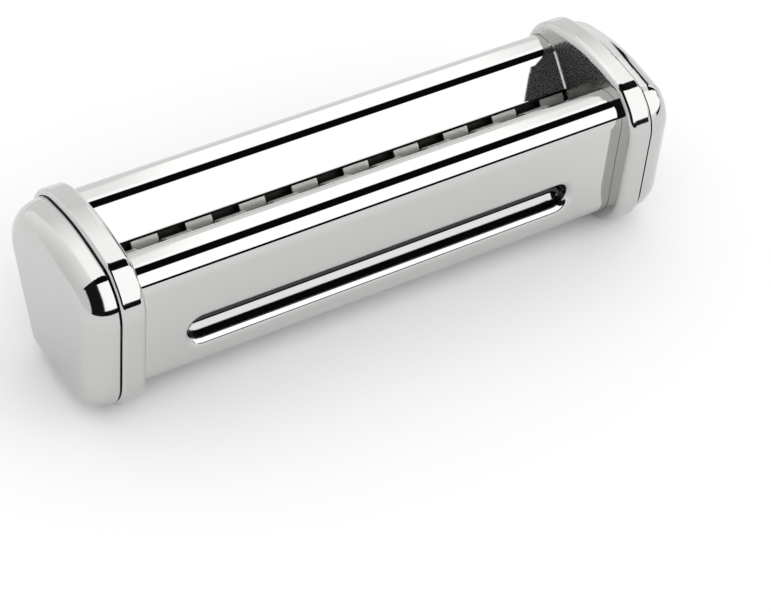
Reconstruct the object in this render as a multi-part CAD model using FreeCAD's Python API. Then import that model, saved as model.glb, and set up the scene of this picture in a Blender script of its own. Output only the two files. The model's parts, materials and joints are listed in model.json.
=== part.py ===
import FreeCAD, Part
import math
import os

# Clip-on pasta cutting head: two interleaved cutter rollers in a chromed body.
# X runs along the rollers with the geared end at -X, the front faces -Y and +Z is up.
# The origin is on the resting plane, under the middle of the body.

# Feed throat and cutter segments, with a plain collar at each end of the rollers
segment_pitch = 8.0
segment_count = 18
left_collar = 3.0
right_collar = 0.6
cut_side_gap = 0.3

# Roller section
ring_radius = 8.0
pasta_gap = 1.0
journal_radius = 3.0
roller_top_drop = 24.5
ring_wall_gap = 0.946

# Rim outline of the two side frames
body_depth = 52.0
body_height = 50.3
crown_radius = 60.0
crown_peak_y = -2.0
crown_front_deg = 6.0
crown_rear_deg = 12.0
shoulder_depth = 8.5
shoulder_deg = 40.0
shoulder_top_radius = 6.0
shoulder_front_radius = 13.0
front_bottom_radius = 14.0
rear_top_radius = 15.5
rear_bottom_radius = 5.1
rear_lean_deg = 25.0

# Side frames
plate_thickness = 3.0
rim_width = 7.1
rim_wall = 1.6
rim_inner_round = 1.8
rim_outer_round = 1.2

# End caps
parting_gap = 0.5
cap_depth = 8.4
cap_front_inset = 0.8
cap_shoulder_inset = 1.2
cap_top_inset = 2.1
cap_rear_inset = 1.45
cap_bottom_inset = 1.45
cap_wall = 1.6
cap_front_roll = 6.5
cap_shoulder_roll = 7.0
cap_top_roll = 7.0
cap_rear_roll = 7.0
cap_bottom_roll = 6.5
cap_roll_angles_deg = (0.0, 22.0, 42.0, 62.0, 84.0)
cap_least_corner = 3.0
spigot_wall = 1.0
spigot_reach = 1.6
spigot_clearance = 0.15

# Covers
sheet = 0.8
cover_groove_depth = 1.0
cover_clearance = 0.1
cover_bottom_z = 4.6
front_recess = 5.1
front_top_drop = 5.7
front_bend = 5.7
front_top_flat = 2.1
lip_slope_deg = 60.0
lip_ring_gap = 1.7
front_bottom_bend = 6.5
front_hem_y = -4.4
hem_height = 2.4
hem_bend = 1.2

bead_margin = 12.6
bead_lip_round = 2.4
bead_channel_round = 3.6
bead_turn_deg = 85.0
bead_bottom_flat = 0.6
bead_centre_z = 19.3

chute_overlap = 0.7
chute_ring_gap = 1.5
chute_slope_deg = 49.0
rear_top_drop = 8.7
chute_bend = 5.7
rear_bend = 5.7
rear_wall_recess = 2.5
rear_recess = 2.2
rear_waist_bend = 10.0
rear_bottom_bend = 2.5
rear_hem_width = 2.9

# Gears
gear_teeth = 14
gear_module = 1.0
gear_width = 3.6
gear_addendum = 0.8
gear_dedendum = 1.25
gear_backlash = 0.24
pressure_angle_deg = 20.0
flank_points = 4
journal_flat = 0.6
flat_clearance = 0.05

# Bearings and retention
running_clearance = 0.04
press_clearance = 0.02
bush_wall = 1.1
bush_flange_width = 1.1
bush_flange_thickness = 1.0
bush_proud = 0.2
end_play = 0.3
clip_thickness = 0.6
clip_groove_width = 0.7
clip_groove_depth = 0.5
clip_outer_radius = 4.8
clip_mouth = 3.4
journal_tail = 1.0

# Drive socket
socket_radius = 5.4
socket_length = 11.1
socket_bore_radius = 4.0
socket_bore_depth = 6.5
socket_slot_width = 2.2
socket_slot_radius = 5.0
socket_slot_depth = 4.0
socket_hole_clearance = 0.7
socket_pin_radius = 1.0
socket_pin_from_end = 1.6
socket_floor = 0.6
socket_end_gap = 0.1

# Stripper combs
comb_thickness = 1.0
comb_offset = 4.2
comb_ring_gap = 3.8
comb_bar_height = 6.0
comb_core_gap = 0.45
comb_finger_side_gap = 0.75
comb_tab_height = 4.0
comb_tab_length = 2.5
comb_clearance = 0.1

# Tie rods
rod_radius = 1.7
rod_end_radius = 1.25
rod_hole_clearance = 0.15
rod_tail = 0.6
nut_flats = 5.0
nut_thickness = 2.0
washer_radius = 3.0
washer_thickness = 0.5
front_rod_inset = 11.5
upper_front_rod_drop = 11.1
lower_front_rod_z = 11.5
upper_rear_rod_inset = 9.0
upper_rear_rod_drop = 14.3
lower_rear_rod_gap = 0.5
lower_rear_rod_rise = 5.2

# Guide channels on the rear wall
guide_end_gap = 11.8
guide_foot = 6.0
guide_lip = 6.0
guide_sheet = 1.0
guide_slot = 1.3
guide_length = 16.0
guide_bottom_z = 7.0
rivet_radius = 1.2
rivet_head_radius = 2.2
rivet_crown_radius = 1.3
rivet_head_height = 0.9
rivet_tail_height = 0.6
rivet_low = 3.0
rivet_high = 8.6
rivet_clearance = 0.05

# How closely an edge is matched to a plane, and how far a cut runs past a face
edge_match = 0.001
overcut = 1.0

# Values that follow from the dimensions above
throat_width = left_collar + segment_pitch * segment_count + right_collar
half_throat = throat_width / 2
plate_outer_x = half_throat + plate_thickness
rim_outer_x = half_throat + rim_width
front_y = -body_depth / 2
rear_y = body_depth / 2
gear_radius = gear_module * gear_teeth / 2
axis_distance = 2 * gear_radius
core_radius = axis_distance - ring_radius - pasta_gap
roller_axis_z = body_height - roller_top_drop
roller_half = half_throat - bush_proud - end_play
segments_start_x = left_collar - half_throat
rear_lean = math.radians(rear_lean_deg)
bush_outer_x = plate_outer_x + bush_flange_thickness
stack_start_x = bush_outer_x + end_play
socket_seat_x = stack_start_x + socket_length - socket_bore_depth - socket_floor


def point(x, flat):
    """A point of the cross-section plane at length x."""
    return FreeCAD.Vector(x, flat[0], flat[1])


def heading(start, end):
    """Unit direction from one section point to another."""
    dy = end[0] - start[0]
    dz = end[1] - start[1]
    size = math.hypot(dy, dz)
    return (dy / size, dz / size)


def crossing(a, da, b, db):
    """Crossing of the line through a along da with the line through b along db."""
    bottom = da[0] * db[1] - da[1] * db[0]
    along = ((b[0] - a[0]) * db[1] - (b[1] - a[1]) * db[0]) / bottom
    return (a[0] + along * da[0], a[1] + along * da[1])


def rounded_edges(points, radii, x, closed):
    """Straight runs joined by tangent arcs, one radius for each corner."""
    count = len(points)
    corners = range(count) if closed else range(1, count - 1)
    stops = [] if closed else [(points[0], None, points[0])]
    for i in corners:
        into = heading(points[i - 1], points[i])
        out = heading(points[i], points[(i + 1) % count])
        turn = math.acos(max(-1.0, min(1.0, into[0] * out[0] + into[1] * out[1])))
        reach = radii[i] * math.tan(turn / 2)
        start = (points[i][0] - into[0] * reach, points[i][1] - into[1] * reach)
        end = (points[i][0] + out[0] * reach, points[i][1] + out[1] * reach)
        bisector = heading((0, 0), (out[0] - into[0], out[1] - into[1]))
        sag = radii[i] / math.cos(turn / 2) - radii[i]
        middle = (points[i][0] + bisector[0] * sag, points[i][1] + bisector[1] * sag)
        stops.append((start, middle, end))
    if not closed:
        stops.append((points[-1], None, points[-1]))
    edges = []
    for i, (start, middle, end) in enumerate(stops):
        if middle is not None:
            edges.append(Part.Arc(point(x, start), point(x, middle), point(x, end)).toShape())
        if closed or i + 1 < len(stops):
            after = stops[(i + 1) % len(stops)][0]
            edges.append(Part.LineSegment(point(x, end), point(x, after)).toShape())
    return edges


def crown_tangent(degrees):
    """Touching point and direction of the crown's tangent at an angle towards the rear of its peak."""
    angle = math.radians(degrees)
    touch_y = crown_peak_y + crown_radius * math.sin(angle)
    touch_z = body_height - crown_radius * (1 - math.cos(angle))
    return (touch_y, touch_z), (math.cos(angle), -math.sin(angle))


def rim_corners():
    """Corners of the rim outline, clockwise from the front bottom, over the sloped shoulder and the crown."""
    rear_touch, rear_slope = crown_tangent(crown_rear_deg)
    front_touch, front_slope = crown_tangent(-crown_front_deg)
    brow = crossing((front_y + shoulder_depth, 0), (0, 1), front_touch, front_slope)
    shoulder = math.radians(shoulder_deg)
    below_y = rear_touch[0] + rear_slope[1] * rear_top_radius
    below_z = rear_touch[1] - rear_slope[0] * rear_top_radius
    arc = crossing((below_y, below_z), rear_slope, (rear_y - rear_top_radius, 0), (0, 1))
    touch = (arc[0] + rear_top_radius * math.cos(rear_lean), arc[1] - rear_top_radius * math.sin(rear_lean))
    lean = (math.sin(rear_lean), math.cos(rear_lean))
    return [
        (front_y, 0),
        crossing((front_y, 0), (0, 1), brow, (math.cos(shoulder), math.sin(shoulder))),
        brow,
        crossing(front_touch, front_slope, rear_touch, rear_slope),
        crossing(touch, lean, rear_touch, rear_slope),
        crossing(touch, lean, (0, 0), (1, 0)),
    ]


rim_radii = [
    front_bottom_radius,
    shoulder_front_radius,
    shoulder_top_radius,
    crown_radius,
    rear_top_radius,
    rear_bottom_radius,
]


def inset_corners(corners, depths):
    """The same clockwise loop with every side moved inwards by its own depth."""
    sides = []
    for i, corner in enumerate(corners):
        along = heading(corner, corners[(i + 1) % len(corners)])
        sides.append(((corner[0] + along[1] * depths[i], corner[1] - along[0] * depths[i]), along))
    return [crossing(*sides[i - 1], *sides[i]) for i in range(len(corners))]


def rim_wire(depths, x):
    """Rim outline at length x, inset by a depth for each side from the front over the top to the bottom."""
    radii = []
    for i, radius in enumerate(rim_radii):
        radii.append(max(radius - (depths[i - 1] + depths[i]) / 2, cap_least_corner))
    return Part.Wire(rounded_edges(inset_corners(rim_corners(), depths), radii, x, True))


def rim_prism(depth, start, end):
    """Rim outline, inset by one depth all round, drawn out from start to end."""
    return Part.Face(rim_wire([depth] * len(rim_radii), start)).extrude(FreeCAD.Vector(end - start, 0, 0))


def rod(x, end, centre, radius):
    """Round bar along X."""
    return Part.makeCylinder(radius, end - x, point(x, centre), FreeCAD.Vector(1, 0, 0))


def turned(profile, centre):
    """Solid turned about an axis along X from (x, radius) steps."""
    points = [point(x, (centre[0], centre[1] + radius)) for x, radius in profile]
    points.insert(0, point(profile[0][0], centre))
    points.append(point(profile[-1][0], centre))
    face = Part.Face(Part.makePolygon(points + [points[0]]))
    return face.revolve(point(0, centre), FreeCAD.Vector(1, 0, 0), 360)


def block(x, y, z):
    """Box from three (low, high) pairs."""
    low = FreeCAD.Vector(x[0], y[0], z[0])
    return Part.makeBox(x[1] - x[0], y[1] - y[0], z[1] - z[0], low)


def mirrored(shape):
    """The same piece for the other end."""
    return shape.mirror(FreeCAD.Vector(0, 0, 0), FreeCAD.Vector(1, 0, 0))


def save(name, solids):
    """One piece, or one group of like pieces, to its own file."""
    shape = solids[0] if len(solids) == 1 else Part.makeCompound(solids)
    shape.exportStep("parts/" + name + ".step")


# Rear wall line of the rear cover, and the rollers in front of it
rear_down = (-math.sin(rear_lean), -math.cos(rear_lean))
rear_out = (math.cos(rear_lean), -math.sin(rear_lean))
rim_rear_top = rim_corners()[4]
rear_line = (rim_rear_top[0] - rear_out[0] * rear_recess, rim_rear_top[1] - rear_out[1] * rear_recess)
ring_reach = ring_radius + ring_wall_gap + sheet
roller_line = (rear_line[0] - rear_out[0] * ring_reach, rear_line[1] - rear_out[1] * ring_reach)
rear_axis = crossing((0, roller_axis_z), (1, 0), roller_line, rear_down)
rear_axis_y = rear_axis[0]
front_axis_y = rear_axis_y - axis_distance
front_axis = (front_axis_y, roller_axis_z)
nip_y = rear_axis_y - gear_radius

# Covers: an outside path, bent to the right at every corner, and the sheet lies on its right
front_face_y = front_y + front_recess
front_top_z = body_height - front_top_drop
lip_end_z = roller_axis_z + ring_radius + lip_ring_gap
lip_slope = math.radians(lip_slope_deg)
lip_down = (math.cos(lip_slope), -math.sin(lip_slope))
lip_centre_y = front_face_y + front_bend + front_top_flat
lip_touch = (
    lip_centre_y + front_bend * math.sin(lip_slope),
    front_top_z - front_bend + front_bend * math.cos(lip_slope),
)
lip_corner = crossing(lip_touch, lip_down, (0, front_top_z), (1, 0))
lip_end = crossing(lip_touch, lip_down, (0, lip_end_z), (1, 0))
front_path = [
    (front_hem_y, cover_bottom_z + hem_height),
    (front_hem_y, cover_bottom_z),
    (front_face_y, cover_bottom_z),
    (front_face_y, front_top_z),
    lip_corner,
    lip_end,
]
front_radii = [0, hem_bend, front_bottom_bend, front_bend, front_bend, 0]

chute_slope = math.radians(chute_slope_deg)
chute_up = (math.cos(chute_slope), math.sin(chute_slope))
chute_lip_y = nip_y + chute_overlap
chute_rise = math.sqrt((ring_radius + chute_ring_gap) ** 2 - (rear_axis_y - chute_lip_y) ** 2)
chute_lip = (chute_lip_y, roller_axis_z + chute_rise)
rear_top_z = body_height - rear_top_drop
rear_wall_y = rear_y - rear_wall_recess
rear_foot = crossing((0, cover_bottom_z), (1, 0), rear_line, rear_down)
rear_hem_y = rear_foot[0] - rear_hem_width
rear_path = [
    chute_lip,
    crossing(chute_lip, chute_up, (0, rear_top_z), (1, 0)),
    (rear_wall_y, rear_top_z),
    crossing((rear_wall_y, 0), (0, 1), rear_line, rear_down),
    rear_foot,
    (rear_hem_y, cover_bottom_z),
    (rear_hem_y, cover_bottom_z + hem_height),
]
rear_radii = [0, chute_bend, rear_bend, rear_waist_bend, rear_bottom_bend, hem_bend, 0]


def shifted(path, radii, right, grow):
    """A path moved to its right, with longer ends and the bend radii that follow."""
    sides = []
    for start, end in zip(path, path[1:]):
        along = heading(start, end)
        sides.append(((start[0] + along[1] * right, start[1] - along[0] * right), along))
    first, first_along = sides[0]
    last_along = sides[-1][1]
    points = [(first[0] - first_along[0] * grow, first[1] - first_along[1] * grow)]
    points += [crossing(*sides[i - 1], *sides[i]) for i in range(1, len(sides))]
    end = (path[-1][0] + last_along[1] * right, path[-1][1] - last_along[0] * right)
    points.append((end[0] + last_along[0] * grow, end[1] + last_along[1] * grow))
    return points, [radius - right for radius in radii]


def sheet_band(path, radii, start, end, margin):
    """Bent sheet between two lengths, or the groove that takes it with a margin all round."""
    outside, outside_radii = shifted(path, radii, -margin, margin)
    inside, inside_radii = shifted(path, radii, sheet + margin, margin)
    inside.reverse()
    inside_radii.reverse()
    edges = rounded_edges(outside, outside_radii, start, False)
    edges.append(Part.LineSegment(point(start, outside[-1]), point(start, inside[0])).toShape())
    edges += rounded_edges(inside, inside_radii, start, False)
    edges.append(Part.LineSegment(point(start, inside[-1]), point(start, outside[0])).toShape())
    return Part.Face(Part.Wire(edges)).extrude(FreeCAD.Vector(end - start, 0, 0))


cover_half = half_throat + cover_groove_depth - cover_clearance
guide_outer_x = half_throat - guide_end_gap
guide_web_x = guide_outer_x - guide_lip
guide_inner_x = guide_web_x - guide_foot


bead_turn = math.radians(bead_turn_deg)
bead_half_height = (bead_lip_round + bead_channel_round) * math.sin(bead_turn) + bead_bottom_flat / 2
bead_depth = (bead_lip_round + bead_channel_round) * (1 - math.cos(bead_turn))
bead_half_length = half_throat - bead_margin - bead_half_height
bead_lip_centre = (front_face_y + bead_lip_round, bead_centre_z - bead_half_height)
bead_channel_centre = (front_face_y + bead_depth - bead_channel_round, bead_centre_z - bead_bottom_flat / 2)
bead_middle = (front_face_y, bead_centre_z)


def bead_arc(x, centre, radius, way):
    """Quarter of the bead's section: its lip for way -1, or its channel for way 1."""
    stops = []
    for angle in (0, bead_turn / 2, bead_turn):
        y = centre[0] + way * radius * math.cos(angle)
        z = centre[1] - way * radius * math.sin(angle)
        stops.append(point(x, (y, z)))
    return Part.Arc(*stops).toShape()


def bead_section(x):
    """Lower half of the bead's section at length x, from the flat face to the bottom of the channel."""
    edges = []
    bottoms = []
    for depth in (0, sheet):
        edges.append(bead_arc(x, bead_lip_centre, bead_lip_round - depth, -1))
        edges.append(bead_arc(x, bead_channel_centre, bead_channel_round + depth, 1))
        bottoms.append(point(x, (front_face_y + bead_depth + depth, bead_centre_z)))
        flat_start = point(x, (front_face_y + bead_depth + depth, bead_channel_centre[1]))
        edges.append(Part.LineSegment(flat_start, bottoms[-1]).toShape())
    edges.append(Part.LineSegment(*bottoms).toShape())
    face_start = point(x, (front_face_y, bead_lip_centre[1]))
    back_start = point(x, (front_face_y + sheet, bead_lip_centre[1]))
    edges.append(Part.LineSegment(face_start, back_start).toShape())
    return Part.Face(Part.Wire(Part.sortEdges(edges)[0]))


def make_front_cover():
    """Front sheet with a rolled top, a throat lip, a bottom hem and the pressed bead."""
    cover = sheet_band(front_path, front_radii, -cover_half, cover_half, 0)
    across = FreeCAD.Vector(0, 1, 0)
    pieces = [bead_section(-bead_half_length).extrude(FreeCAD.Vector(2 * bead_half_length, 0, 0))]
    pieces.append(pieces[0].mirror(point(0, bead_middle), FreeCAD.Vector(0, 0, 1)))
    for side in (-1, 1):
        x = side * bead_half_length
        pieces.append(bead_section(x).revolve(point(x, bead_middle), across, -side * 180))
        hole_start = point(x, (front_face_y - overcut, bead_centre_z))
        cover = cover.cut(Part.makeCylinder(bead_half_height, sheet + 2 * overcut, hole_start, across))
    slot = block(
        (-bead_half_length, bead_half_length),
        (front_face_y - overcut, front_face_y + sheet + overcut),
        (bead_centre_z - bead_half_height, bead_centre_z + bead_half_height),
    )
    return cover.cut(slot).fuse(pieces).removeSplitter()


def make_rear_cover():
    """Rear sheet with the feed chute, a flat rounded top, a leaning wall and a bottom hem."""
    cover = sheet_band(rear_path, rear_radii, -cover_half, cover_half, 0)
    for hole in rivet_places():
        along = FreeCAD.Vector(0, rear_out[0], rear_out[1])
        start = hole - along * (2 * sheet)
        cover = cover.cut(Part.makeCylinder(rivet_radius + rivet_clearance, 4 * sheet, start, along))
    return cover


def wall_point(x, up, out):
    """Point on the leaning rear wall: a distance up the slope and a distance off the face."""
    base = crossing((0, guide_bottom_z), (1, 0), rear_path[3], rear_down)
    y = base[0] - rear_down[0] * up + rear_out[0] * out
    z = base[1] - rear_down[1] * up + rear_out[1] * out
    return FreeCAD.Vector(x, y, z)


def rivet_places():
    """Rivet centres on the rear wall's outside face, in the middle of the guides' feet."""
    ups = (rivet_low, rivet_high)
    rivet_x = guide_web_x - guide_foot / 2
    return [wall_point(side * rivet_x, up, 0) for side in (-1, 1) for up in ups]


def make_guide():
    """Bent channel for the +X end: a riveted foot, a web and a lip that closes over the rail slot."""
    lip_bottom = guide_sheet + guide_slot
    outline = [
        (guide_inner_x, 0),
        (guide_outer_x, 0),
        (guide_outer_x, guide_sheet),
        (guide_web_x + guide_sheet, guide_sheet),
        (guide_web_x + guide_sheet, lip_bottom),
        (guide_outer_x, lip_bottom),
        (guide_outer_x, lip_bottom + guide_sheet),
        (guide_web_x, lip_bottom + guide_sheet),
        (guide_web_x, guide_sheet),
        (guide_inner_x, guide_sheet),
    ]
    points = [wall_point(x, 0, out) for x, out in outline]
    face = Part.Face(Part.makePolygon(points + [points[0]]))
    guide = face.extrude(wall_point(0, guide_length, 0) - wall_point(0, 0, 0))
    along = FreeCAD.Vector(0, rear_out[0], rear_out[1])
    for hole in rivet_places()[2:]:
        guide = guide.cut(Part.makeCylinder(rivet_radius + rivet_clearance, 2 * guide_sheet, hole, along))
    return guide


def make_rivets():
    """Round-headed rivets through the guide's foot and the rear wall, closed inside."""
    along = FreeCAD.Vector(0, rear_out[0], rear_out[1])
    rivets = []
    for hole in rivet_places():
        shank = Part.makeCylinder(rivet_radius, guide_sheet + sheet, hole - along * sheet, along)
        head_start = hole + along * guide_sheet
        head = Part.makeCone(rivet_head_radius, rivet_crown_radius, rivet_head_height, head_start, along)
        tail_start = hole - along * (sheet + rivet_tail_height)
        tail = Part.makeCylinder(rivet_head_radius, rivet_tail_height, tail_start, along)
        rivets.append(shank.fuse([head, tail]).removeSplitter())
    return rivets


bush_radius = journal_radius + running_clearance + bush_wall
comb_places = {"front_comb": nip_y - comb_offset, "rear_comb": nip_y + comb_offset}
comb_bar_top_z = roller_axis_z - ring_radius - comb_ring_gap
comb_bottom_z = comb_bar_top_z - comb_bar_height
lower_rear_rod_y = comb_places["rear_comb"] + comb_thickness / 2 + lower_rear_rod_gap + rod_radius
rod_places = {
    "upper_front_tie_rod": (front_y + front_rod_inset, body_height - upper_front_rod_drop),
    "lower_front_tie_rod": (front_y + front_rod_inset, lower_front_rod_z),
    "upper_rear_tie_rod": (rear_y - upper_rear_rod_inset, body_height - upper_rear_rod_drop),
    "lower_rear_tie_rod": (lower_rear_rod_y, comb_bottom_z + lower_rear_rod_rise),
}


def make_left_frame():
    """Side frame: a plate inside a raised rim, bored for the bushes and tie rods."""
    frame = rim_prism(0, -rim_outer_x, -half_throat)
    inner = [edge for edge in frame.Edges if edge.BoundBox.XMin > -half_throat - edge_match]
    frame = frame.makeFillet(rim_inner_round, inner)
    outer = [edge for edge in frame.Edges if edge.BoundBox.XMax < -rim_outer_x + edge_match]
    frame = frame.makeFillet(rim_outer_round, outer)
    frame = frame.cut(rim_prism(rim_wall, -rim_outer_x, -plate_outer_x))
    for axis in (front_axis, rear_axis):
        frame = frame.cut(rod(-rim_outer_x, 0, axis, bush_radius + press_clearance))
    for place in rod_places.values():
        frame = frame.cut(rod(-rim_outer_x, 0, place, rod_end_radius + rod_hole_clearance))
    groove_x = -half_throat - cover_groove_depth
    for path, radii in ((front_path, front_radii), (rear_path, rear_radii)):
        frame = frame.cut(sheet_band(path, radii, groove_x, 0, cover_clearance))
    half_slot = comb_thickness / 2 + comb_clearance
    tab_middle = (comb_bottom_z + comb_bar_top_z) / 2
    half_tab = comb_tab_height / 2 + comb_clearance
    for y in comb_places.values():
        slot = block(
            (-plate_outer_x - overcut, 0),
            (y - half_slot, y + half_slot),
            (tab_middle - half_tab, tab_middle + half_tab),
        )
        frame = frame.cut(slot)
    return frame


def cap_dome(wall, start):
    """Pillow shape that rolls inwards from near the rim outline to a flat end, less a wall all round."""
    top_inset = (cap_shoulder_inset, cap_top_inset, cap_top_inset)
    insets = (cap_front_inset, *top_inset, cap_rear_inset, cap_bottom_inset)
    top_rolls = (cap_shoulder_roll, cap_top_roll, cap_top_roll)
    rolls = (cap_front_roll, *top_rolls, cap_rear_roll, cap_bottom_roll)
    last = math.radians(cap_roll_angles_deg[-1])
    wires = []
    for degrees in cap_roll_angles_deg:
        angle = math.radians(degrees)
        x = start - (cap_depth - wall) * math.sin(angle) / math.sin(last)
        drawn_in = 1 - math.cos(angle)
        depths = [inset + wall + (roll - wall) * drawn_in for inset, roll in zip(insets, rolls)]
        wires.append(rim_wire(depths, x))
    return Part.makeLoft(wires, True, False)


def make_left_cap():
    """Hollow end cap with a spigot that fits inside the rim wall."""
    start = -rim_outer_x - parting_gap
    cap = cap_dome(0, start).cut(cap_dome(cap_wall, start))
    spigot_inset = rim_wall + spigot_clearance
    spigot = rim_prism(spigot_inset, start, start + spigot_reach)
    spigot = spigot.cut(rim_prism(spigot_inset + spigot_wall, start, start + spigot_reach))
    return cap.fuse(spigot).removeSplitter()


def make_right_cap():
    """The other end's cap, open over the drive socket."""
    hole = rod(0, 2 * rim_outer_x, front_axis, socket_radius + socket_hole_clearance)
    return mirrored(make_left_cap()).cut(hole)


def ring_steps(first):
    """Steps of one cutter roller's body: a ring on every second segment."""
    steps = [(-roller_half, core_radius)]
    for segment in range(first, segment_count, 2):
        start = segments_start_x + segment * segment_pitch + cut_side_gap / 2
        end = start + segment_pitch - cut_side_gap
        steps += [(start, core_radius), (start, ring_radius), (end, ring_radius), (end, core_radius)]
    steps.append((roller_half, core_radius))
    return steps


groove_radius = journal_radius - clip_groove_depth
left_clip_x = -stack_start_x - gear_width - clip_groove_width
right_clip_x = stack_start_x


def make_roller(axis, first, driven):
    """Cutter roller turned from one bar, with a flat for its gear and grooves for its clips."""
    left_end = left_clip_x - journal_tail
    steps = [
        (left_end, journal_radius),
        (left_clip_x, journal_radius),
        (left_clip_x, groove_radius),
        (left_clip_x + clip_groove_width, groove_radius),
        (left_clip_x + clip_groove_width, journal_radius),
        (-roller_half, journal_radius),
    ]
    steps += ring_steps(first)
    steps.append((roller_half, journal_radius))
    if driven:
        steps.append((socket_seat_x - socket_end_gap, journal_radius))
    else:
        steps += [
            (right_clip_x, journal_radius),
            (right_clip_x, groove_radius),
            (right_clip_x + clip_groove_width, groove_radius),
            (right_clip_x + clip_groove_width, journal_radius),
            (right_clip_x + clip_groove_width + journal_tail, journal_radius),
        ]
    roller = turned(steps, axis)
    flat_z = axis[1] + journal_radius - journal_flat
    flat = block(
        (left_end, -stack_start_x),
        (axis[0] - journal_radius, axis[0] + journal_radius),
        (flat_z, flat_z + journal_radius),
    )
    roller = roller.cut(flat)
    if driven:
        roller = roller.cut(socket_pin_hole(axis))
    return roller


def involute(angle):
    """Angle that the involute has unwound at a pressure angle."""
    return math.tan(angle) - angle


def make_gear(axis, tooth_angle):
    """Spur gear with involute flanks and a flat in its bore, one tooth at the given angle."""
    pressure = math.radians(pressure_angle_deg)
    base = gear_radius * math.cos(pressure)
    tip = gear_radius + gear_addendum * gear_module
    root = gear_radius - gear_dedendum * gear_module
    half_pitch = math.pi / (2 * gear_teeth) - gear_backlash / (2 * gear_radius) + involute(pressure)
    flank_radii = [base + (tip - base) * i / (flank_points - 1) for i in range(flank_points)]
    flank = [(root, half_pitch)]
    flank += [(r, half_pitch - involute(math.acos(min(1.0, base / r)))) for r in flank_radii]
    x = -stack_start_x - gear_width

    def polar(radius, angle):
        return point(x, (axis[0] + radius * math.cos(angle), axis[1] + radius * math.sin(angle)))

    edges = []
    step = 2 * math.pi / gear_teeth
    for tooth in range(gear_teeth):
        centre = tooth_angle + tooth * step
        rise = [polar(r, centre - half) for r, half in flank]
        fall = [polar(r, centre + half) for r, half in reversed(flank)]
        edges.append(Part.LineSegment(rise[0], rise[1]).toShape())
        up = Part.BSplineCurve()
        up.interpolate(rise[1:])
        edges.append(up.toShape())
        edges.append(Part.Arc(rise[-1], polar(tip, centre), fall[0]).toShape())
        down = Part.BSplineCurve()
        down.interpolate(fall[:-1])
        edges.append(down.toShape())
        edges.append(Part.LineSegment(fall[-2], fall[-1]).toShape())
        next_rise = polar(root, centre + step - half_pitch)
        edges.append(Part.Arc(fall[-1], polar(root, centre + step / 2), next_rise).toShape())
    gear = Part.Face(Part.Wire(edges)).extrude(FreeCAD.Vector(gear_width, 0, 0))
    bore = rod(x, x + gear_width, axis, journal_radius + press_clearance)
    flat_z = axis[1] + journal_radius - journal_flat + flat_clearance
    key = block(
        (x, x + gear_width),
        (axis[0] - gear_radius, axis[0] + gear_radius),
        (flat_z, flat_z + gear_radius),
    )
    return gear.cut(bore.cut(key))


def make_bush(axis, left):
    """Flanged bush in the side plate, its flange outside and its nose just proud inside."""
    bore = journal_radius + running_clearance
    flange = bush_radius + bush_flange_width
    steps = [
        (half_throat - bush_proud, bush_radius),
        (plate_outer_x, bush_radius),
        (plate_outer_x, flange),
        (bush_outer_x, flange),
    ]
    bush = turned(steps, axis).cut(rod(0, bush_outer_x + overcut, axis, bore))
    return mirrored(bush) if left else bush


def make_clip(x, axis):
    """Open retaining clip in a journal groove."""
    start = x + (clip_groove_width - clip_thickness) / 2
    clip = rod(start, start + clip_thickness, axis, clip_outer_radius)
    clip = clip.cut(rod(start, start + clip_thickness, axis, groove_radius + press_clearance))
    mouth = block(
        (start, start + clip_thickness),
        (axis[0] - clip_mouth / 2, axis[0] + clip_mouth / 2),
        (axis[1] - clip_outer_radius, axis[1]),
    )
    return clip.cut(mouth)


def socket_pin_hole(axis):
    """Cross hole through the drive socket and the driven journal."""
    x = stack_start_x + socket_pin_from_end
    start = FreeCAD.Vector(x, axis[0], axis[1] - socket_radius)
    return Part.makeCylinder(socket_pin_radius + press_clearance, 2 * socket_radius, start)


def make_socket():
    """Drive socket: pinned on the journal, with a blind bore and a cross slot for the crank."""
    end = stack_start_x + socket_length
    socket = rod(stack_start_x, end, front_axis, socket_radius)
    bore_start = end - socket_bore_depth
    socket = socket.cut(rod(bore_start, end, front_axis, socket_bore_radius))
    socket = socket.cut(rod(stack_start_x, socket_seat_x, front_axis, journal_radius + press_clearance))
    slot = block(
        (end - socket_slot_depth, end),
        (front_axis_y - socket_slot_radius, front_axis_y + socket_slot_radius),
        (roller_axis_z - socket_slot_width / 2, roller_axis_z + socket_slot_width / 2),
    )
    slot = slot.common(rod(bore_start, end, front_axis, socket_slot_radius))
    return socket.cut(slot).cut(socket_pin_hole(front_axis))


def make_socket_pin():
    """Cross pin of the drive socket."""
    x = stack_start_x + socket_pin_from_end
    start = FreeCAD.Vector(x, front_axis_y, roller_axis_z - socket_radius + press_clearance)
    return Part.makeCylinder(socket_pin_radius, 2 * (socket_radius - press_clearance), start)


def make_comb(y, axis_y, first):
    """Flat stripper comb: a bar tabbed into both side frames and a finger in every groove."""
    low = y - comb_thickness / 2
    high = y + comb_thickness / 2
    reach = abs(axis_y - y) - comb_thickness / 2
    tip_z = roller_axis_z - math.sqrt((core_radius + comb_core_gap) ** 2 - reach ** 2)
    comb = block((-half_throat, half_throat), (low, high), (comb_bottom_z, comb_bar_top_z))
    tab_middle = (comb_bottom_z + comb_bar_top_z) / 2
    tab_end = half_throat + comb_tab_length
    tab_z = (tab_middle - comb_tab_height / 2, tab_middle + comb_tab_height / 2)
    pieces = [block((-tab_end, tab_end), (low, high), tab_z)]
    for segment in range(first, segment_count, 2):
        start = segments_start_x + segment * segment_pitch + comb_finger_side_gap
        end = start + segment_pitch - 2 * comb_finger_side_gap
        pieces.append(block((start, end), (low, high), (comb_bar_top_z, tip_z)))
    return comb.fuse(pieces).removeSplitter()


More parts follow.
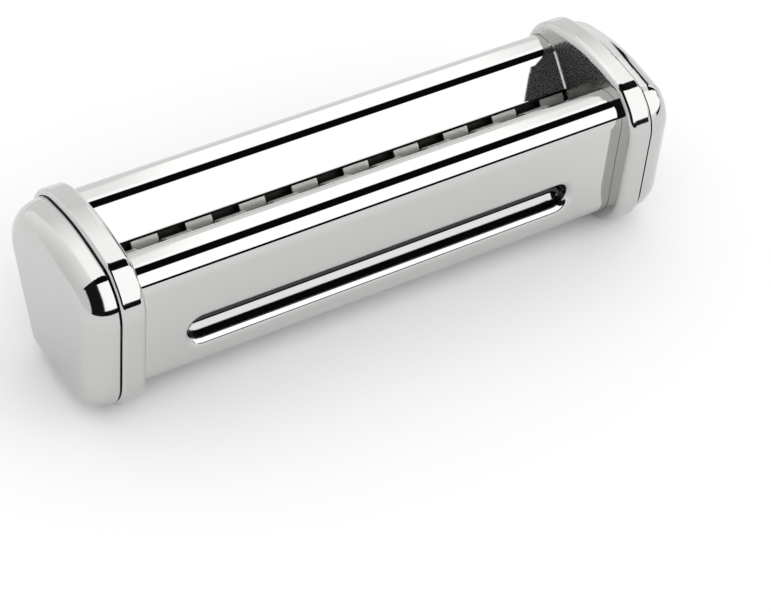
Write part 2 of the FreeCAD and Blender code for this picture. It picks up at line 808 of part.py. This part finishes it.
def make_tie_rod(place):
    """Tie rod with a shoulder against each side plate and a thinner threaded end outside it."""
    end = plate_outer_x + washer_thickness + nut_thickness + rod_tail
    steps = [
        (-end, rod_end_radius),
        (-half_throat, rod_end_radius),
        (-half_throat, rod_radius),
        (half_throat, rod_radius),
        (half_throat, rod_end_radius),
        (end, rod_end_radius),
    ]
    return turned(steps, place)


def make_nut(place):
    """Hexagon nut on the +X end of a tie rod."""
    start = plate_outer_x + washer_thickness
    corner = nut_flats / (2 * math.cos(math.pi / 6))
    turns = [math.pi / 3 * i for i in range(6)]
    ring = [point(start, (place[0] + corner * math.cos(t), place[1] + corner * math.sin(t))) for t in turns]
    face = Part.Face(Part.makePolygon(ring + [ring[0]]))
    nut = face.extrude(FreeCAD.Vector(nut_thickness, 0, 0))
    return nut.cut(rod(start, start + nut_thickness, place, rod_end_radius + press_clearance))


def make_washer(place):
    """Washer under a nut on the +X end."""
    end = plate_outer_x + washer_thickness
    washer = rod(plate_outer_x, end, place, washer_radius)
    return washer.cut(rod(plate_outer_x, end, place, rod_end_radius + rod_hole_clearance))


os.makedirs("parts", exist_ok=True)

# Fixed body
left_frame = make_left_frame()
save("left_side_frame", [left_frame])
save("right_side_frame", [mirrored(left_frame)])
save("left_end_cap", [make_left_cap()])
save("right_end_cap", [make_right_cap()])
save("front_cover", [make_front_cover()])
save("rear_cover", [make_rear_cover()])
save("front_comb", [make_comb(comb_places["front_comb"], front_axis_y, 1)])
save("rear_comb", [make_comb(comb_places["rear_comb"], rear_axis_y, 0)])
for roller_name, roller_axis in (("front", front_axis), ("rear", rear_axis)):
    save(roller_name + "_left_bush", [make_bush(roller_axis, True)])
    save(roller_name + "_right_bush", [make_bush(roller_axis, False)])
for rod_name, rod_place in rod_places.items():
    save(rod_name, [make_tie_rod(rod_place)])
right_nuts = [make_nut(place) for place in rod_places.values()]
right_washers = [make_washer(place) for place in rod_places.values()]
save("tie_rod_nuts", right_nuts + [mirrored(nut) for nut in right_nuts])
save("tie_rod_washers", right_washers + [mirrored(washer) for washer in right_washers])
right_guide = make_guide()
save("right_guide_channel", [right_guide])
save("left_guide_channel", [mirrored(right_guide)])
save("guide_rivets", make_rivets())

# Front roller, driven by the crank
half_tooth = math.pi / gear_teeth
save("front_cutter_roller", [make_roller(front_axis, 0, True)])
save("front_gear", [make_gear(front_axis, 0)])
save("front_roller_clip", [make_clip(left_clip_x, front_axis)])
save("drive_socket", [make_socket()])
save("drive_socket_pin", [make_socket_pin()])

# Rear roller, turned by the gears
save("rear_cutter_roller", [make_roller(rear_axis, 1, False)])
save("rear_gear", [make_gear(rear_axis, math.pi + half_tooth)])
save("rear_roller_clips", [make_clip(left_clip_x, rear_axis), make_clip(right_clip_x, rear_axis)])
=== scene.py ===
import json
import math

import bpy
import numpy as np
from mathutils import Matrix, Vector


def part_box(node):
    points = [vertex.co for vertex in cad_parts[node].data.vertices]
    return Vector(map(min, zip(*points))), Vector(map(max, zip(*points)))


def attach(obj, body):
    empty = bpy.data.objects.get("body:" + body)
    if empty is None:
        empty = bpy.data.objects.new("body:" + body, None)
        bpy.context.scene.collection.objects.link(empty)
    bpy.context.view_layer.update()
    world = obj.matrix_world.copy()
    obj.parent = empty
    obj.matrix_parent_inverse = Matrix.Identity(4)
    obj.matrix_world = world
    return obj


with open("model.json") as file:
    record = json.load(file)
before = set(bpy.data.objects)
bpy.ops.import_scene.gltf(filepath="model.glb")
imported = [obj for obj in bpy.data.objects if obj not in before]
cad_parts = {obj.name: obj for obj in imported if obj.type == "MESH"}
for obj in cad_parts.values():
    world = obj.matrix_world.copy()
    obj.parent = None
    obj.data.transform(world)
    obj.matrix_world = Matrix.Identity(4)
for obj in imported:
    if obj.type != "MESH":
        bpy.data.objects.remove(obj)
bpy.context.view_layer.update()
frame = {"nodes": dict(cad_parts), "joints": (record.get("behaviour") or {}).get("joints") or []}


# Side frames.
# Two zinc die castings, polished by hand and chrome plated, carry the rollers, the covers and the caps.
# The throat's walls aren't polished first and keep their pits, and the joint with the caps is painted dark:
# dirt, and painted shade in the gap.
def linear(hex_colour):
    """Linear RGBA of an sRGB hex colour, by the standard curve for each channel."""
    channels = np.array([int(hex_colour[i:i + 2], 16) for i in (1, 3, 5)]) / 255
    curve = np.where(channels <= 0.04045, channels / 12.92, ((channels + 0.055) / 1.055) ** 2.4)
    return (*curve.tolist(), 1.0)


def add_node(tree, kind, inputs, **settings):
    """Add a node: settings are its properties, inputs its sockets by name or number, as values or links."""
    node = tree.nodes.new("ShaderNode" + kind)
    for name, value in settings.items():
        setattr(node, name, value)
    for name, value in inputs.items():
        if isinstance(value, bpy.types.NodeSocket):
            tree.links.new(value, node.inputs[name])
        else:
            node.inputs[name].default_value = value
    return node


def new_material(name):
    """An empty node material and its tree."""
    material = bpy.data.materials.new(name)
    material.use_nodes = True
    material.node_tree.nodes.clear()
    return material, material.node_tree


def finish_nodes(material, names):
    """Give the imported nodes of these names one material."""
    for name in names:
        for slot in frame["nodes"][name].material_slots:
            slot.material = material


MM = 0.001


def per_metre(size_mm):
    """Noise scale whose features are this many millimetres across."""
    return 1 / (size_mm * MM)


def soft_window(tree, value, span, soft, unit=1.0):
    """1 inside the span, falling smoothly to 0 over a soft edge on both sides, all given in the unit."""
    low, high = span
    edges = {}
    for number, (outer, inner) in enumerate(((low - soft, low), (high + soft, high))):
        limits = {"Value": value, "From Min": outer * unit, "From Max": inner * unit}
        edge = add_node(tree, "MapRange", limits, interpolation_type="SMOOTHSTEP")
        edges[number] = edge.outputs["Result"]
    return add_node(tree, "Math", edges, operation="MULTIPLY").outputs["Value"]


# Distances of the plate's inner face and the rim's outer face from the middle of the part.
PLATE_FACE_MM, RIM_FACE_MM = (corner.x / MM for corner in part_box("right_side_frame"))


def chromed_casting():
    """Chrome plate on a hand-polished zinc casting: a mirror with a slow ripple and faint wiping marks.

    It is pitted where X lies inside the plates' faces and Y behind the throat's front. It is painted dark in
    the joint, a narrow band of X just outside the rims' faces: dirt, and painted shade in the gap.
    """
    plate_colour, joint_dirt_and_shade_colour = "#C6C7C5", "#1C1C1C"
    ripple_mm, ripple_height_mm = 5.0, 0.006
    wipe_mm = 9.0
    wipe_gloss = {"From Min": 0.3, "From Max": 0.75, "To Min": 0.04, "To Max": 0.10}
    grain_mm, grain_height_mm = 0.45, 0.016
    pit_gloss = {"From Min": 0.40, "From Max": 0.70, "To Min": 0.08, "To Max": 0.62}
    wall_mm, wall_soft_mm = (0.0, PLATE_FACE_MM), 0.3
    throat_mm, throat_soft_mm = (-13.0, 1000.0), 4.0
    joint_mm, joint_soft_mm = (RIM_FACE_MM + 0.05, RIM_FACE_MM + 0.45), 0.02
    material, tree = new_material("chromed_zinc_casting")
    place = add_node(tree, "TexCoord", {}).outputs["Object"]
    split = add_node(tree, "SeparateXYZ", {"Vector": place})
    off_centre = add_node(tree, "Math", {0: split.outputs["X"]}, operation="ABSOLUTE").outputs["Value"]
    on_wall = soft_window(tree, off_centre, wall_mm, wall_soft_mm, MM)
    in_throat = soft_window(tree, split.outputs["Y"], throat_mm, throat_soft_mm, MM)
    inside = add_node(tree, "Math", {0: on_wall, 1: in_throat}, operation="MULTIPLY").outputs["Value"]
    ripple = add_node(tree, "TexNoise", {"Vector": place, "Scale": per_metre(ripple_mm), "Detail": 1.0})
    waves = add_node(tree, "Bump", {"Height": ripple.outputs["Fac"], "Distance": ripple_height_mm * MM})
    grain = add_node(tree, "TexNoise", {"Vector": place, "Scale": per_metre(grain_mm), "Detail": 2.0})
    relief = add_node(tree, "Bump", {
        "Height": grain.outputs["Fac"],
        "Distance": grain_height_mm * MM,
        "Strength": inside,
        "Normal": waves.outputs["Normal"],
    })
    pits = add_node(tree, "MapRange", {"Value": grain.outputs["Fac"], **pit_gloss}).outputs["Result"]
    wipe = add_node(tree, "TexNoise", {"Vector": place, "Scale": per_metre(wipe_mm), "Detail": 5.0})
    polished = add_node(tree, "MapRange", {"Value": wipe.outputs["Fac"], **wipe_gloss}).outputs["Result"]
    rough = add_node(tree, "Mix", {"Factor": inside, "A": polished, "B": pits}).outputs["Result"]
    # The joint band is painted dark: dirt, and painted shade in the gap between rim and cap.
    joint = soft_window(tree, off_centre, joint_mm, joint_soft_mm, MM)
    shade = add_node(tree, "MixRGB", {
        "Fac": joint,
        "Color1": linear(plate_colour),
        "Color2": linear(joint_dirt_and_shade_colour),
    })
    shader = add_node(tree, "BsdfPrincipled", {
        "Base Color": shade.outputs["Color"],
        "Metallic": 1.0,
        "Roughness": rough,
        "Normal": relief.outputs["Normal"],
    })
    add_node(tree, "OutputMaterial", {"Surface": shader.outputs["BSDF"]})
    return material


casting_chrome = chromed_casting()
finish_nodes(casting_chrome, ("left_side_frame", "right_side_frame"))


# Bearing bushes.
# Four flanged bushes of sintered bronze are pressed into the side frames and carry the roller journals.
# Sintering leaves open pores full of oil, so the bronze is dull, brown and finely speckled.
def worked_metal(name, pale, dark, gloss, mark_mm, drawn, relief_mm):
    """Solid metal whose making marks set its shade, its gloss and a low relief.

    The marks are noise of the given size, scaled along the axes by drawn: below 1 stretches them. Marks that
    are finer on the real metal are drawn at 0.2 mm or more, so that they show in a render.
    """
    mark_span = {"From Min": 0.3, "From Max": 0.7}
    material, tree = new_material(name)
    place = add_node(tree, "TexCoord", {}).outputs["Object"]
    along = add_node(tree, "Mapping", {"Vector": place, "Scale": drawn}).outputs["Vector"]
    noise = add_node(tree, "TexNoise", {"Vector": along, "Scale": per_metre(mark_mm), "Detail": 3.0})
    marks = noise.outputs["Fac"]
    depth = add_node(tree, "MapRange", {"Value": marks, **mark_span}).outputs["Result"]
    shade = add_node(tree, "MixRGB", {"Fac": depth, "Color1": linear(dark), "Color2": linear(pale)})
    rough = add_node(tree, "MapRange", {"Value": depth, "To Min": gloss[1], "To Max": gloss[0]})
    relief = add_node(tree, "Bump", {"Height": marks, "Distance": relief_mm * MM})
    shader = add_node(tree, "BsdfPrincipled", {
        "Base Color": shade.outputs["Color"],
        "Metallic": 1.0,
        "Roughness": rough.outputs["Result"],
        "Normal": relief.outputs["Normal"],
    })
    add_node(tree, "OutputMaterial", {"Surface": shader.outputs["BSDF"]})
    return material


EVEN = (1.0, 1.0, 1.0)
bush_bronze = worked_metal("oiled_sintered_bronze", pale="#B8935C", dark="#8A683B", gloss=(0.32, 0.50),
                           mark_mm=0.5, drawn=EVEN, relief_mm=0.010)
finish_nodes(bush_bronze, ("front_left_bush", "front_right_bush", "rear_left_bush", "rear_right_bush"))


# Cutter rollers.
# Each is turned from one steel bar: wide rings that run in the grooves of the other roller and shear past it.
# The rings are ground to a pale satin, and the grooves between them are painted dark as shade.
def ground_roller_steel(name, axis):
    """Steel by its distance from the roller's axis: painted shade in the grooves, pale with fine turned marks
    outside.

    The distance is the length of the place from the axis without its X. The marks are noise along X, drawn
    coarser than real ones so that they show in a render. The satin scatters some light, so it isn't fully
    metallic.
    """
    groove_shade_colour, ring_dark, ring_pale = "#3A3937", "#E6E5E0", "#FAF9F5"
    mark_mm = 0.4
    mark_gloss = {"From Min": 0.3, "From Max": 0.7, "To Min": 0.34, "To Max": 0.46}
    groove_mm, ring_mm = 7.3, 7.8
    across_axis = (0.0, 1.0, 1.0)
    material, tree = new_material(name)
    place = add_node(tree, "TexCoord", {}).outputs["Object"]
    centred = add_node(tree, "Mapping", {"Vector": place, "Location": -Vector(axis)})
    flat = add_node(tree, "VectorMath", {0: centred.outputs["Vector"], 1: across_axis}, operation="MULTIPLY")
    radius = add_node(tree, "VectorMath", {0: flat.outputs["Vector"]}, operation="LENGTH").outputs["Value"]
    on_ring = add_node(tree, "MapRange", {
        "Value": radius,
        "From Min": groove_mm * MM,
        "From Max": ring_mm * MM,
    }).outputs["Result"]
    along = add_node(tree, "SeparateXYZ", {"Vector": place}).outputs["X"]
    noise = add_node(tree, "TexNoise", {"W": along, "Scale": per_metre(mark_mm), "Detail": 2.0},
                     noise_dimensions="1D")
    marks = noise.outputs["Fac"]
    ring = add_node(tree, "MixRGB", {"Fac": marks, "Color1": linear(ring_dark), "Color2": linear(ring_pale)})
    # The grooves are painted dark, as the shade between the rings.
    shade = add_node(tree, "MixRGB", {
        "Fac": on_ring,
        "Color1": linear(groove_shade_colour),
        "Color2": ring.outputs["Color"],
    })
    rough = add_node(tree, "MapRange", {"Value": marks, **mark_gloss})
    shader = add_node(tree, "BsdfPrincipled", {
        "Base Color": shade.outputs["Color"],
        "Metallic": 0.7,
        "Roughness": rough.outputs["Result"],
    })
    add_node(tree, "OutputMaterial", {"Surface": shader.outputs["BSDF"]})
    return material


roller_axes = {joint["name"]: joint["pos_m"] for joint in frame["joints"]}
for roller in ("front", "rear"):
    roller_steel = ground_roller_steel(roller + "_ground_roller_steel", roller_axes[roller + "_roller_spin"])
    finish_nodes(roller_steel, (roller + "_cutter_roller",))


# Roller gears.
# Two equal spur gears hobbed from steel sit on flats of the journals under the left cap.
# Hobbing draws its marks along the teeth, and a film of grease darkens them.
ALONG_X = (0.04, 1.0, 1.0)
gear_steel = worked_metal("hobbed_gear_steel", pale="#A6A7A8", dark="#77787A", gloss=(0.24, 0.40),
                          mark_mm=0.35, drawn=ALONG_X, relief_mm=0.003)
finish_nodes(gear_steel, ("front_gear", "rear_gear"))


# Retaining clips.
# Open clips stamped from spring steel snap into the journal grooves and hold the rollers endways.
# They are hardened and blackened, with a faint oily cloud.
clip_steel = worked_metal("blackened_spring_steel", pale="#55565A", dark="#37383B", gloss=(0.28, 0.46),
                          mark_mm=0.9, drawn=EVEN, relief_mm=0.003)
finish_nodes(clip_steel, ("front_roller_clip", "rear_roller_clips"))


# Drive socket and its pin.
# The socket is turned from free-cutting steel, pressed on the driven journal and cross pinned.
# The crank's round end goes in its bore. The pin is ground smooth, with marks round its own upright axis.
ROUND_X = (1.0, 0.0, 0.0)
socket_steel = worked_metal("turned_socket_steel", pale="#C6C7C8", dark="#9C9DA0", gloss=(0.18, 0.32),
                            mark_mm=0.3, drawn=ROUND_X, relief_mm=0.003)
finish_nodes(socket_steel, ("drive_socket",))
ROUND_Z = (0.0, 0.0, 1.0)
pin_steel = worked_metal("ground_pin_steel", pale="#D0D1D2", dark="#B2B3B5", gloss=(0.14, 0.24),
                         mark_mm=0.2, drawn=ROUND_Z, relief_mm=0.001)
finish_nodes(pin_steel, ("drive_socket_pin",))


# Stripper combs.
# Flat combs stamped from rolled spring steel are tabbed into both side frames.
# Their fingers lie in the roller grooves and keep them clear. Rolling leaves a grain along X.
comb_steel = worked_metal("rolled_spring_steel", pale="#C6C7C6", dark="#AFB0B0", gloss=(0.20, 0.32),
                          mark_mm=0.3, drawn=ALONG_X, relief_mm=0.001)
finish_nodes(comb_steel, ("front_comb", "rear_comb"))


# Tie rods.
# Four drawn steel bars with a shoulder against each plate hold the side frames apart.
# Drawing leaves lines along the bar under a bright zinc plate.
rod_zinc = worked_metal("zinc_plated_drawn_bar", pale="#C9CDD0", dark="#A9AEB3", gloss=(0.18, 0.30),
                        mark_mm=0.4, drawn=ALONG_X, relief_mm=0.002)
rod_places = ("upper_front", "lower_front", "upper_rear", "lower_rear")
finish_nodes(rod_zinc, [place + "_tie_rod" for place in rod_places])


# Nuts and washers.
# Stock hexagon nuts and washers close the tie rods outside the plates.
# Barrel plating gives them a cloudy zinc skin.
fastener_zinc = worked_metal("barrel_plated_zinc", pale="#C3C8CB", dark="#9EA4A8", gloss=(0.22, 0.38),
                             mark_mm=1.6, drawn=EVEN, relief_mm=0.004)
finish_nodes(fastener_zinc, ("tie_rod_nuts", "tie_rod_washers"))


# Covers.
# The front and rear sheets are bent from bright rolled steel, plated, and held in grooves of the side frames.
# The front bead's steep walls and its upper half under the lip are painted dark, as shade in the bead.
def chromed_sheet():
    """Chrome plate on bright rolled sheet: a clean, flat mirror with a very faint rolling grain along X.

    In the bead, by its height and its depth behind the front cover's face, the walls and the upper half are
    painted dark as shade, and the bottom is a little darker than the sheet.
    """
    sheet_colour, bottom_colour, bead_shade_colour = "#CCCDCB", "#B2B3B1", "#3C3D3D"
    grain_mm, grain_stretch = 0.6, 40.0
    grain_gloss = {"From Min": 0.3, "From Max": 0.7, "To Min": 0.025, "To Max": 0.05}
    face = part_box("front_cover")[0].y
    bead_mm, bead_soft_mm = (12.8, 25.8), 0.1
    upper_mm, upper_soft_mm = (17.4, bead_mm[1]), 0.2
    wall_mm, wall_soft_mm = (1.6, 3.3), 0.5
    pressed_mm = (wall_mm[0], 10.0)
    bottom_mm, bottom_soft_mm = (3.7, pressed_mm[1]), 0.3
    material, tree = new_material("chromed_steel_sheet")
    place = add_node(tree, "TexCoord", {}).outputs["Object"]
    split = add_node(tree, "SeparateXYZ", {"Vector": place})
    height = split.outputs["Z"]
    depth = add_node(tree, "Math", {0: split.outputs["Y"], 1: face}, operation="SUBTRACT").outputs["Value"]
    in_bead = soft_window(tree, height, bead_mm, bead_soft_mm, MM)
    # The bead's walls and its upper half under the lip are painted dark as shade.
    wall_shade = soft_window(tree, depth, wall_mm, wall_soft_mm, MM)
    overhung = soft_window(tree, height, upper_mm, upper_soft_mm, MM)
    pressed = soft_window(tree, depth, pressed_mm, wall_soft_mm, MM)
    lip_shade = add_node(tree, "Math", {0: overhung, 1: pressed}, operation="MULTIPLY").outputs["Value"]
    bead_shade = add_node(tree, "Math", {0: wall_shade, 1: lip_shade}, operation="MAXIMUM").outputs["Value"]
    wall = add_node(tree, "Math", {0: bead_shade, 1: in_bead}, operation="MULTIPLY").outputs["Value"]
    deep = soft_window(tree, depth, bottom_mm, bottom_soft_mm, MM)
    bottom = add_node(tree, "Math", {0: deep, 1: in_bead}, operation="MULTIPLY").outputs["Value"]
    plate = add_node(tree, "MixRGB", {
        "Fac": bottom,
        "Color1": linear(sheet_colour),
        "Color2": linear(bottom_colour),
    })
    shade = add_node(tree, "MixRGB", {
        "Fac": wall,
        "Color1": plate.outputs["Color"],
        "Color2": linear(bead_shade_colour),
    })
    drawn = add_node(tree, "Mapping", {"Vector": place, "Scale": (1 / grain_stretch, 1.0, 1.0)})
    grain = add_node(tree, "TexNoise", {
        "Vector": drawn.outputs["Vector"],
        "Scale": per_metre(grain_mm),
        "Detail": 3.0,
    })
    rough = add_node(tree, "MapRange", {"Value": grain.outputs["Fac"], **grain_gloss})
    shader = add_node(tree, "BsdfPrincipled", {
        "Base Color": shade.outputs["Color"],
        "Metallic": 1.0,
        "Roughness": rough.outputs["Result"],
    })
    add_node(tree, "OutputMaterial", {"Surface": shader.outputs["BSDF"]})
    return material


sheet_chrome = chromed_sheet()
finish_nodes(sheet_chrome, ("front_cover", "rear_cover"))


# Edges of the feed chute.
# The chute is the rear cover's front. Its lower edge is rolled down and safe, and it is painted dark as the
# shade under the chute.
# Where the chute enters each side frame, its sheet is turned up a little against the plate and looks bright.
def new_piece(name, points_mm, faces, material):
    """Mesh object at the origin, from points in millimetres, with one material."""
    mesh = bpy.data.meshes.new(name)
    mesh.from_pydata((np.array(points_mm) * MM).tolist(), [], faces)
    mesh.materials.append(material)
    piece = bpy.data.objects.new(name, mesh)
    bpy.context.scene.collection.objects.link(piece)
    return piece


# The chute's lower edge in Y and Z, and its slope.
CHUTE_LIP_MM = np.array((4.7, 32.91))
CHUTE_SLOPE = math.radians(49.0)


def rolled_lip(material):
    """Down-turned lower edge: an outer and an inner arc about one centre, carried along X between the plates.

    The arcs start at the chute's own normal and turn down past the front.
    """
    roll_mm, wall_mm = 0.7, 0.6
    last_turn = math.radians(-35.0)
    steps = 77
    turn = np.linspace(math.pi / 2 - CHUTE_SLOPE, last_turn, steps)
    ray = np.stack((-np.cos(turn), np.sin(turn)), axis=1)
    centre = CHUTE_LIP_MM - roll_mm * ray[0]
    outline = np.vstack((centre + roll_mm * ray, centre + (roll_mm - wall_mm) * ray[::-1]))
    count = len(outline)
    ends = [np.column_stack((np.full(count, x), outline)) for x in (-PLATE_FACE_MM, PLATE_FACE_MM)]
    first = np.arange(count)
    after = np.roll(first, -1)
    walls = np.stack((after, after + count, first + count, first), axis=1)
    outer = np.arange(steps - 1)
    closing = np.stack((outer, outer + 1, count - 2 - outer, count - 1 - outer), axis=1)
    faces = np.vstack((walls, closing[:, ::-1], closing + count))
    return new_piece("chute_rolled_lip", np.vstack(ends), faces.tolist(), material)


# The rolled lip is painted dark, as the shade under the chute's edge above the rings.
lip_shade_steel = worked_metal("rolled_edge_painted_shade", pale="#343433", dark="#1C1C1C", gloss=(0.30, 0.45),
                          mark_mm=0.4, drawn=ALONG_X, relief_mm=0.002)
chute_lip = rolled_lip(lip_shade_steel)
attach(chute_lip, "frame")


def turned_up_ends(material):
    """Thin wedges on the chute at both plates: a three-cornered section carried along the sheet's profile.

    The profile is the chute's straight line from its lip, then the arc of its bend, with the sheet's normal
    at each point. The left wedge is the right one mirrored, with its faces turned round.
    """
    straight_mm, bend_mm = 8.92, 5.7
    width_mm, lift_mm, sunk_mm = 0.55, 0.15, 0.1
    steps = 60
    heading = np.linspace(CHUTE_SLOPE, 0, steps)
    arc_normal = np.stack((-np.sin(heading), np.cos(heading)), axis=1)
    touch = CHUTE_LIP_MM + straight_mm * np.array((math.cos(CHUTE_SLOPE), math.sin(CHUTE_SLOPE)))
    arc = touch - bend_mm * arc_normal[0] + bend_mm * arc_normal
    path = np.vstack((CHUTE_LIP_MM, arc))
    normal = np.vstack((arc_normal[:1], arc_normal))
    lifts = np.array((0.0, lift_mm, -sunk_mm))
    outs = PLATE_FACE_MM + np.array((-width_mm, sunk_mm, sunk_mm))
    places = path[:, None, :] + lifts[None, :, None] * normal[:, None, :]
    right = np.dstack((np.broadcast_to(outs, places.shape[:2]), places)).reshape(-1, 3)
    first = np.arange(3 * (len(path) - 1)).reshape(-1, 3)
    after = np.roll(first, -1, axis=1)
    walls = np.stack((first, after, after + 3, first + 3), axis=2).reshape(-1, 4)
    last = len(right) - 3
    faces = walls.tolist() + [[2, 1, 0], [last, last + 1, last + 2]]
    mirrored = [[corner + len(right) for corner in reversed(face)] for face in faces]
    points = np.vstack((right, right * (-1, 1, 1)))
    return new_piece("chute_turned_ends", points, faces + mirrored, material)


turned_ends = turned_up_ends(sheet_chrome)
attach(turned_ends, "frame")


# Guide channels and their rivets.
# Two bent channels on the leaning rear wall slide over the rail of the machine that drives the head.
# They are bright rolled steel like the combs, fixed with round-headed nickel-plated rivets.
finish_nodes(comb_steel, ("left_guide_channel", "right_guide_channel"))
rivet_nickel = worked_metal("nickel_plated_rivet", pale="#CBC9C4", dark="#B9B7B1", gloss=(0.16, 0.26),
                            mark_mm=0.8, drawn=EVEN, relief_mm=0.0005)
finish_nodes(rivet_nickel, ("guide_rivets",))


# End caps.
# Hollow die-cast domes close each end over the gears and round the crank socket.
# They plug into the rims and have the same polished chrome.
finish_nodes(casting_chrome, ("left_end_cap", "right_end_cap"))


# Floor, light and camera.
# A plain pale studio table in a white tent with two long soft boxes and black cards between them.
# The camera looks from the left, the front and above.
def studio_floor():
    """Flat white table top, wide enough to fill the view and a hair below the feet."""
    half_mm, drop_mm = 4000.0, 0.1
    corners = [(x * half_mm, y * half_mm, -drop_mm) for x, y in ((-1, -1), (1, -1), (1, 1), (-1, 1))]
    material, tree = new_material("white_table_paper")
    shader = add_node(tree, "BsdfDiffuse", {"Color": linear("#FAFAFA")})
    add_node(tree, "OutputMaterial", {"Surface": shader.outputs["BSDF"]})
    return new_piece("studio_floor", corners, [(0, 1, 2, 3)], material)


studio_floor()


def studio_world():
    """White tent by two measures of a direction: its angle from the front horizon over the top, and its X.

    On the right are a front box, a black card, a rear box that dims backwards off its core, the tent's back,
    a plain end wall and a thin card at that wall's edge. On the left is plain white tent, with a black card
    in front. Only mirrored rays see this tent. The camera and matt surfaces see even white paper.
    """
    box_level, back_level, end_level = 1.66, 1.0, 1.2
    left_near_level, left_far_level = 1.3, 0.9
    card_level, left_card_level = 0.004, 0.012
    front_deg, front_soft = (13.0, 71.0), 2.0
    rear_deg, rear_soft = (115.0, 149.0), 3.0
    back_deg = (rear_deg[1] + rear_soft, 180.0)
    core_across, core_soft = (0.37, 0.47), 0.035
    end_across, end_soft = (0.60, 0.75), 0.05
    edge_deg, edge_deg_soft = (front_deg[1], 180.0), 6.0
    edge_across, edge_soft = (0.785, 0.815), 0.03
    card_deg, card_deg_soft = (-5.0, 110.0), 4.0
    card_across, card_soft = (-0.82, 1.0), 0.05
    left_across = (-0.8, -0.2)
    side_across = (-0.30, -0.20)
    degree = math.radians(1)
    white = (1.0, 1.0, 1.0, 1.0)
    world = bpy.data.worlds.new("soft_studio")
    world.use_nodes = True
    tree = world.node_tree
    tree.nodes.clear()
    way = add_node(tree, "TexCoord", {}).outputs["Generated"]
    split = add_node(tree, "SeparateXYZ", {"Vector": way})
    across = split.outputs["X"]
    front = add_node(tree, "Math", {0: split.outputs["Y"], 1: -1.0}, operation="MULTIPLY").outputs["Value"]
    over = add_node(tree, "Math", {0: split.outputs["Z"], 1: front}, operation="ARCTAN2").outputs["Value"]

    # Right side, from the boxes to the end wall and its card.
    front_box = soft_window(tree, over, front_deg, front_soft, degree)
    rear_box = soft_window(tree, over, rear_deg, rear_soft, degree)
    back = soft_window(tree, over, back_deg, rear_soft, degree)
    fading = add_node(tree, "MapRange", {
        "Value": over,
        "From Min": rear_deg[0] * degree,
        "From Max": rear_deg[1] * degree,
        "To Min": box_level,
        "To Max": back_level,
    }).outputs["Result"]
    core = soft_window(tree, across, core_across, core_soft)
    rear_level = add_node(tree, "Mix", {"Factor": core, "A": fading, "B": box_level}).outputs["Result"]
    level = card_level
    for window, strength in ((back, back_level), (rear_box, rear_level), (front_box, box_level)):
        lit = add_node(tree, "Math", {0: window, 1: strength, 2: level}, operation="MULTIPLY_ADD")
        level = lit.outputs["Value"]
    end_wall = soft_window(tree, across, end_across, end_soft)
    filled = add_node(tree, "Math", {0: end_wall, 1: end_level}, operation="MULTIPLY").outputs["Value"]
    level = add_node(tree, "Math", {0: level, 1: filled}, operation="MAXIMUM").outputs["Value"]
    edge_above = soft_window(tree, over, edge_deg, edge_deg_soft, degree)
    edge_beside = soft_window(tree, across, edge_across, edge_soft)
    edge_card = add_node(tree, "Math", {0: edge_beside, 1: edge_above}, operation="MULTIPLY").outputs["Value"]
    open_part = add_node(tree, "Math", {0: 1.0, 1: edge_card}, operation="SUBTRACT").outputs["Value"]
    right_side = add_node(tree, "Math", {0: level, 1: open_part}, operation="MULTIPLY").outputs["Value"]

    # Left side, the tent and its card.
    card_above = soft_window(tree, over, card_deg, card_deg_soft, degree)
    card_beside = soft_window(tree, across, card_across, card_soft)
    card = add_node(tree, "Math", {0: card_above, 1: card_beside}, operation="MULTIPLY").outputs["Value"]
    left_tent = add_node(tree, "MapRange", {
        "Value": across,
        "From Min": left_across[0],
        "From Max": left_across[1],
        "To Min": left_far_level,
        "To Max": left_near_level,
    }).outputs["Result"]
    left_side = add_node(tree, "Mix", {
        "Factor": card,
        "A": left_tent,
        "B": left_card_level,
    }).outputs["Result"]

    # Both sides for mirrored rays, and paper for the rest.
    side = add_node(tree, "MapRange", {
        "Value": across,
        "From Min": side_across[0],
        "From Max": side_across[1],
    }, interpolation_type="SMOOTHSTEP").outputs["Result"]
    tent = add_node(tree, "Mix", {"Factor": side, "A": left_side, "B": right_side}).outputs["Result"]
    boxes = add_node(tree, "Background", {"Color": white, "Strength": tent}).outputs["Background"]
    paper = add_node(tree, "Background", {"Color": white, "Strength": 1.0}).outputs["Background"]
    path = add_node(tree, "LightPath", {})
    even = add_node(tree, "Math", {0: path.outputs["Is Diffuse Ray"], 1: path.outputs["Is Camera Ray"]},
                    operation="MAXIMUM").outputs["Value"]
    shader = add_node(tree, "MixShader", {"Fac": even, 1: boxes, 2: paper}).outputs["Shader"]
    add_node(tree, "OutputWorld", {"Surface": shader})
    return world


bpy.context.scene.world = studio_world()
bpy.context.scene.view_settings.view_transform = "Standard"


def studio_camera():
    """Long lens from the left, the front and above, turned to the photograph's tilt."""
    centre = Vector((-0.29185, -0.42861, 0.48987))
    right = Vector((0.8498, -0.5218, 0.0747))
    down = Vector((-0.3199, -0.6232, -0.7137))
    forward = Vector((0.4189, 0.5826, -0.6965))
    lens = bpy.data.cameras.new("studio_camera")
    lens.sensor_fit = "HORIZONTAL"
    lens.sensor_width = 36.0
    lens.lens = 120.81
    camera = bpy.data.objects.new("studio_camera", lens)
    bpy.context.scene.collection.objects.link(camera)
    axes = Matrix((right, -down, -forward)).transposed()
    camera.matrix_world = Matrix.Translation(centre) @ axes.to_4x4()
    return camera


bpy.context.scene.camera = studio_camera()
